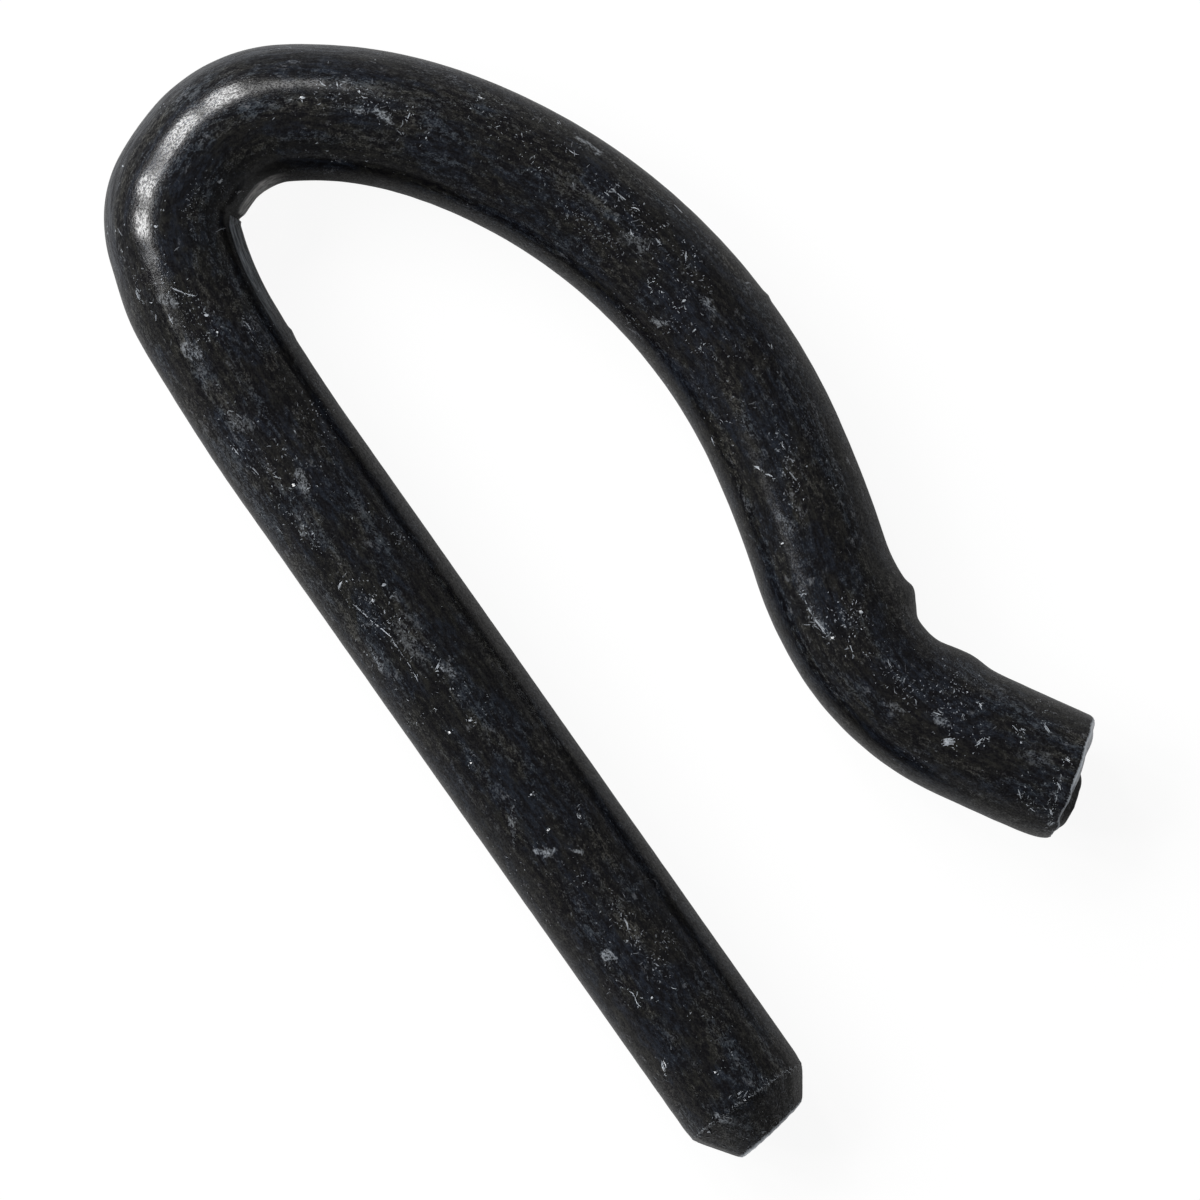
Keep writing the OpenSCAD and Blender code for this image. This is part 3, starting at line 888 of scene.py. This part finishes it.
def black_coating(look, scuffs):
    """Semi-gloss black coating, clouded, dusty and rubbed, with pale flecks, and with painted
    reflections and a painted highlight in a few places.
    """
    material = bpy.data.materials.new("black_coating")
    material.use_nodes = True
    maker = Shader(material.node_tree)
    rod = maker.attribute("rod_coords", "Vector")
    parts = maker.node("ShaderNodeSeparateXYZ", {}, {0: rod})
    along, side, up = [Value(maker, parts.outputs[i]) for i in range(3)]
    across = ROD_R * (-side).angle_to(up)
    edge, fleck = Value(maker, maker.attribute("worn_edge")), Value(maker, maker.attribute("fleck"))
    facing = (up.size() / ROD_R).ramp(0.25, 0.80)

    # Noises that the layers share: clouds, bands, streaks, mottling, grain and rubbing
    cloud = maker.noise(rod, (0.45, 1.0, 1.0), (0.0, 0.0, 0.0), 1.3, 4.0, 0.62)
    band = maker.noise(rod, (0.13, 1.0, 1.0), (7.0, 3.0, 1.0), 2.0, 3.0, 0.6)
    streak = maker.noise(rod, (0.16, 1.0, 1.0), (0.0, 0.0, 0.0), 11.0, 3.0, 0.6)
    mottle = maker.noise(rod, (0.6, 1.0, 1.0), (2.0, 5.0, 0.0), 8.0, 4.0, 0.75)
    grain = maker.noise(rod, (0.7, 1.0, 1.0), (0.0, 0.0, 0.0), 28.0, 2.0, 0.65)
    rub = maker.noise(rod, (0.75, 1.0, 1.0), (1.0, 8.0, 3.0), 3.6, 2.0, 0.6)

    # The black, tinged bluish in some patches and brownish in others
    body = maker.mix(cloud.ramp(0.45, 0.56), look["brownish"], look["bluish"])
    body = maker.mix((mottle * 0.6 + streak * 0.4).ramp(0.62, 0.42), body, look["black"])

    # Dusty grain that gathers in lengthwise bands
    worn = band * 0.9 + facing * 0.06 + edge * 0.16
    dusty = (grain * 0.45 + mottle * 0.55 + worn * 0.55).ramp(0.80, 0.98)
    dusty_colour = maker.mix(cloud.ramp(0.38, 0.56), look["dusty_warm"], look["dusty_cool"])
    body = maker.mix(dusty * 0.85, body, dusty_colour)

    # Grey rubbed places, broken up by the grain, and the hairpin's stretched outer side
    broken = (grain * 0.5 + mottle * 0.5).ramp(0.44, 0.60, 0.02, 1.0)
    scuff = (rub + (band - 0.5) * 0.4).ramp(0.62, 0.76) * broken
    stretched = (side.ramp(1.18, 1.50) * along.ramp(4.0, 6.5) * along.ramp(15.0, 11.0)
                 * streak.ramp(0.38, 0.62, 0.25, 1.0))
    wobble = maker.noise_vector(rod, 15.0)
    drift = maker.stretch(maker.noise_vector(rod, 5.0), (0.36, 0.36, 0.0), (-0.18, -0.18, 0.0))
    drift = maker.stretch(wobble, (0.12, 0.12, 0.0), drift)
    drift = maker.vector("SUBTRACT", drift, (0.06, 0.06, 0.0))
    # The placed rubbed places, with the painted kink highlight; they take the pale colour below
    rubbed = scuff_mask_of(maker, scuffs, along, across, drift)
    frayed = (edge + (grain - 0.5) * 1.3 + (mottle - 0.5) * 0.9).ramp(0.58, 0.88)
    scuff_mask = (scuff.most(stretched * 0.8) * look["wear"]).most(frayed * 0.7)
    body = maker.mix(scuff_mask * 0.8, body, look["scuff"])

    # Pale flecks, the strongest worn through to steel; among them the kink's placed streaks and
    # glossy spot are a painted highlight
    pale = fleck * look["wear"] * mottle.ramp(0.25, 0.60, 0.55, 1.0)
    fleck_and_glint_mask = pale.most(rubbed * broken * 0.40).most(frayed * edge * edge * 0.6)
    body = maker.mix(fleck_and_glint_mask, body, look["fleck"])
    body = maker.mix(pale.ramp(0.60, 0.95) * 0.8, body, look["bare"])

    # Inside the hairpin, painted reflections: before the crease a grey strip on the flattened facet
    # stands in for the rim's reflection; after it a pale strip is partly rubbed and partly a painted
    # reflection of the light
    past = along - start_of("crown", path_pieces(0.0)[0])
    inner = -side
    flat_strip_reflection = (inner.ramp(1.33, 1.38) * past.ramp(-0.02, -0.10) * past.ramp(-5.5, -1.5)
                  * streak.ramp(0.35, 0.65, 0.3, 1.0))
    # Partly rubbed steel, partly a painted reflection of the light: the pale strip after the crease
    pale_strip_worn_and_glare = (inner.ramp(1.44, 1.52) * past.ramp(0.10, 0.25) * past.ramp(3.6, 1.6)
                  * streak.ramp(0.3, 0.7, 0.35, 1.0))
    # Rims of the end faces worn through to steel; on the sheared end the strip is also a painted
    # reflection of the light
    bare_rim_and_glare = edge.ramp(1.1, 1.6) * grain.ramp(0.35, 0.65, 0.05, 0.45)
    # Painted reflection: the grey strip on the flat facet before the crease
    body = maker.mix(flat_strip_reflection * 0.55, body, look["fleck"])
    # Steel colour on the pale strip and the end rims, partly a painted reflection of the light
    body = maker.mix(pale_strip_worn_and_glare.most(bare_rim_and_glare), body, look["bare"])

    rough = (look["rough"] + (streak - 0.5) * 0.20 + (grain - 0.5) * 0.30 + scuff_mask * 0.20
             + fleck_and_glint_mask * 0.25 + dusty * 0.08)
    glint = (grain + (mottle - 0.5) * 0.3).ramp(0.40, 0.60)
    bump = maker.node("ShaderNodeBump", {}, {
        "Strength": 0.28, "Distance": 0.010 * MM,
        "Height": grain * 1.7 + streak * 0.6 + mottle * 0.7})
    shader = maker.node("ShaderNodeBsdfPrincipled", {}, {
        "Base Color": body, "Roughness": rough, "IOR": 1.5, "Specular IOR Level": 0.25,
        "Coat Weight": glint * 0.9, "Coat Roughness": 0.13, "Normal": bump.outputs["Normal"]})
    maker.node("ShaderNodeOutputMaterial", {}, {"Surface": shader.outputs[0]})
    return material


def pale_floor(look):
    """A white floor on which the clip's shadow stays, lightened as in a product picture."""
    material = bpy.data.materials.new("pale_floor")
    material.use_nodes = True
    maker = Shader(material.node_tree)
    seen, glossy = seen_white(maker, look)
    dim = glossy * (1.0 - look["in_gloss"])
    plain = maker.node("ShaderNodeBsdfDiffuse", {},
                       {"Color": maker.mix(dim, look["floor"], look["bounce"])})
    white = maker.node("ShaderNodeEmission", {}, {"Color": (1.0, 1.0, 1.0), "Strength": 1.0})
    surface = maker.node("ShaderNodeMixShader", {}, {
        0: seen * look["lighten"], 1: plain.outputs[0], 2: white.outputs[0]})
    maker.node("ShaderNodeOutputMaterial", {}, {"Surface": surface.outputs[0]})
    return material


def settings(group):
    """The group's values, with lengths in mm and colours as tuples."""
    out = {}
    for key, prop in group.bl_rna.properties.items():
        if key in ("rna_type", "name"):
            continue
        value = getattr(group, key)
        if prop.type == "FLOAT" and prop.array_length:
            value = tuple(value)
        elif getattr(prop, "unit", "NONE") == "LENGTH":
            value = value / MM
        out[key] = value
    return out


# Operators

class CLIP_OT_rod(bpy.types.Operator):
    """Build the bent rod with its marks and its worn black coating"""
    bl_idname = "clip_pin.rod"
    bl_label = "Bent rod"

    def execute(self, context):
        shape = settings(context.scene.clip_shape)
        shape["tip"] = shape.pop("seat_to_tip")
        shape["bends"], shape["rod_end"] = path_pieces(shape["arm_end"])
        run = np.linspace(-SHANK_BACK - shape["tip"], shape["rod_end"], 6000)
        shape["middle_line"] = np.array([(t, *place_at(shape["bends"], t)) for t in run])
        skin = clip_mesh(shape)
        points = np.clip(skin["points"] * MM, np.array(CAD_LOW), np.array(CAD_HIGH))
        mesh = bpy.data.meshes.new("clip_rod_skin")
        mesh.from_pydata(points.tolist(), [], skin["faces"])
        attribute = mesh.attributes.new("rod_coords", "FLOAT_VECTOR", "POINT")
        attribute.data.foreach_set("vector", skin["rod_coords"].astype(np.float32).ravel())
        for name in ("worn_edge", "fleck"):
            attribute = mesh.attributes.new(name, "FLOAT", "POINT")
            attribute.data.foreach_set("value", skin[name].astype(np.float32))
        mesh.shade_smooth()
        mesh.set_sharp_from_angle(angle=math.radians(30))
        # The placed rubbed places, with the painted kink highlight among them
        scuffs = placed(SCUFFS_AND_HIGHLIGHT, shape)
        mesh.materials.append(black_coating(settings(context.scene.clip_coat), scuffs))
        rod = bpy.data.objects.new("clip_rod_skin", mesh)
        context.scene.collection.objects.link(rod)
        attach(rod, "root")
        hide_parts("clip_rod")
        return {"FINISHED"}


class CLIP_OT_stage(bpy.types.Operator):
    """Build the floor, the lights and the camera of the studio"""
    bl_idname = "clip_pin.stage"
    bl_label = "Stage"

    def execute(self, context):
        look = settings(context.scene.clip_stage)
        half = look["floor_size"] / 2 * MM
        level = CAD_LOW.z
        mesh = bpy.data.meshes.new("floor")
        mesh.from_pydata([(-half, -half, level), (half, -half, level), (half, half, level),
                          (-half, half, level)], [], [(0, 1, 2, 3)])
        mesh.materials.append(pale_floor(look))
        floor = bpy.data.objects.new("floor", mesh)
        context.scene.collection.objects.link(floor)
        self.lights(context, look)
        self.room(context, look)
        self.camera(context)
        context.scene.view_settings.view_transform = "Standard"
        return {"FINISHED"}

    def lights(self, context, look):
        middle = Vector((*VIEW_MIDDLE, 0.0)) * MM
        right = Vector((math.cos(VIEW_TURN), math.sin(VIEW_TURN), 0.0))
        above = Vector((-math.sin(VIEW_TURN), math.cos(VIEW_TURN), 0.0))
        for i, (bearing, rise, tall, power) in enumerate(SOFTBOX):
            bearing, rise = math.radians(bearing), math.radians(rise)
            level = right * math.cos(bearing) + above * math.sin(bearing)
            way = level * math.cos(rise) + Vector((0, 0, math.sin(rise)))
            light = bpy.data.lights.new("softbox_%d" % (i + 1), "AREA")
            light.shape = "RECTANGLE"
            light.size, light.size_y = PANEL_WIDTH, tall
            light.energy = look["softbox"] * power
            lamp = bpy.data.objects.new(light.name, light)
            lamp.location = middle + way * PANEL_AWAY
            lamp.rotation_euler = (-way).to_track_quat("-Z", "Y").to_euler()
            context.scene.collection.objects.link(lamp)

    def room(self, context, look):
        world = bpy.data.worlds.new("room")
        context.scene.world = world
        world.use_nodes = True
        maker = Shader(world.node_tree)
        way = maker.node("ShaderNodeTexCoord").outputs["Generated"]
        up = Value(maker, maker.node("ShaderNodeSeparateXYZ", {}, {0: way}).outputs[2])
        horizon = up.ramp(0.0, 0.35, 0.32, look["sky"])
        grey = horizon + (0.95 - horizon) * seen_white(maker, look)[0]
        background = maker.node("ShaderNodeBackground", {},
                                {"Color": (1.0, 1.0, 1.0), "Strength": grey})
        maker.node("ShaderNodeOutputWorld", {}, {"Surface": background.outputs[0]})

    def camera(self, context):
        """Straight above the clip, turned so that the shank points down to the right."""
        data = bpy.data.cameras.new("camera")
        data.lens, data.sensor_width = LENS, SENSOR
        data.clip_start, data.clip_end = 0.01, 10.0
        camera = bpy.data.objects.new("camera", data)
        camera.location = Vector((*VIEW_MIDDLE, CAMERA_HEIGHT)) * MM
        camera.rotation_euler = (0.0, 0.0, VIEW_TURN)
        context.scene.collection.objects.link(camera)
        context.scene.camera = camera


class CLIP_PT_panel(bpy.types.Panel):
    bl_label = "Clip pin"
    bl_idname = "CLIP_PT_panel"
    bl_space_type = "VIEW_3D"
    bl_region_type = "UI"
    bl_category = "Clip Pin"

    def draw(self, context):
        for name, operator in (("clip_shape", CLIP_OT_rod), ("clip_coat", None),
                               ("clip_stage", CLIP_OT_stage)):
            group = getattr(context.scene, name)
            box = self.layout.box()
            for key in group.bl_rna.properties.keys():
                if key not in ("rna_type", "name"):
                    box.prop(group, key)
            if operator:
                box.operator(operator.bl_idname)


GROUPS = {"clip_shape": ClipShape, "clip_coat": CoatLook, "clip_stage": StageLook}
CLASSES = [*GROUPS.values(), CLIP_OT_rod, CLIP_OT_stage, CLIP_PT_panel]


def register():
    for cls in CLASSES:
        bpy.utils.register_class(cls)
    for name, group in GROUPS.items():
        setattr(bpy.types.Scene, name, bpy.props.PointerProperty(type=group))


def unregister():
    for name in GROUPS:
        delattr(bpy.types.Scene, name)
    for cls in reversed(CLASSES):
        bpy.utils.unregister_class(cls)


def main():
    register()
    bpy.ops.clip_pin.rod()
    bpy.ops.clip_pin.stage()


if __name__ == "__main__":
    main()
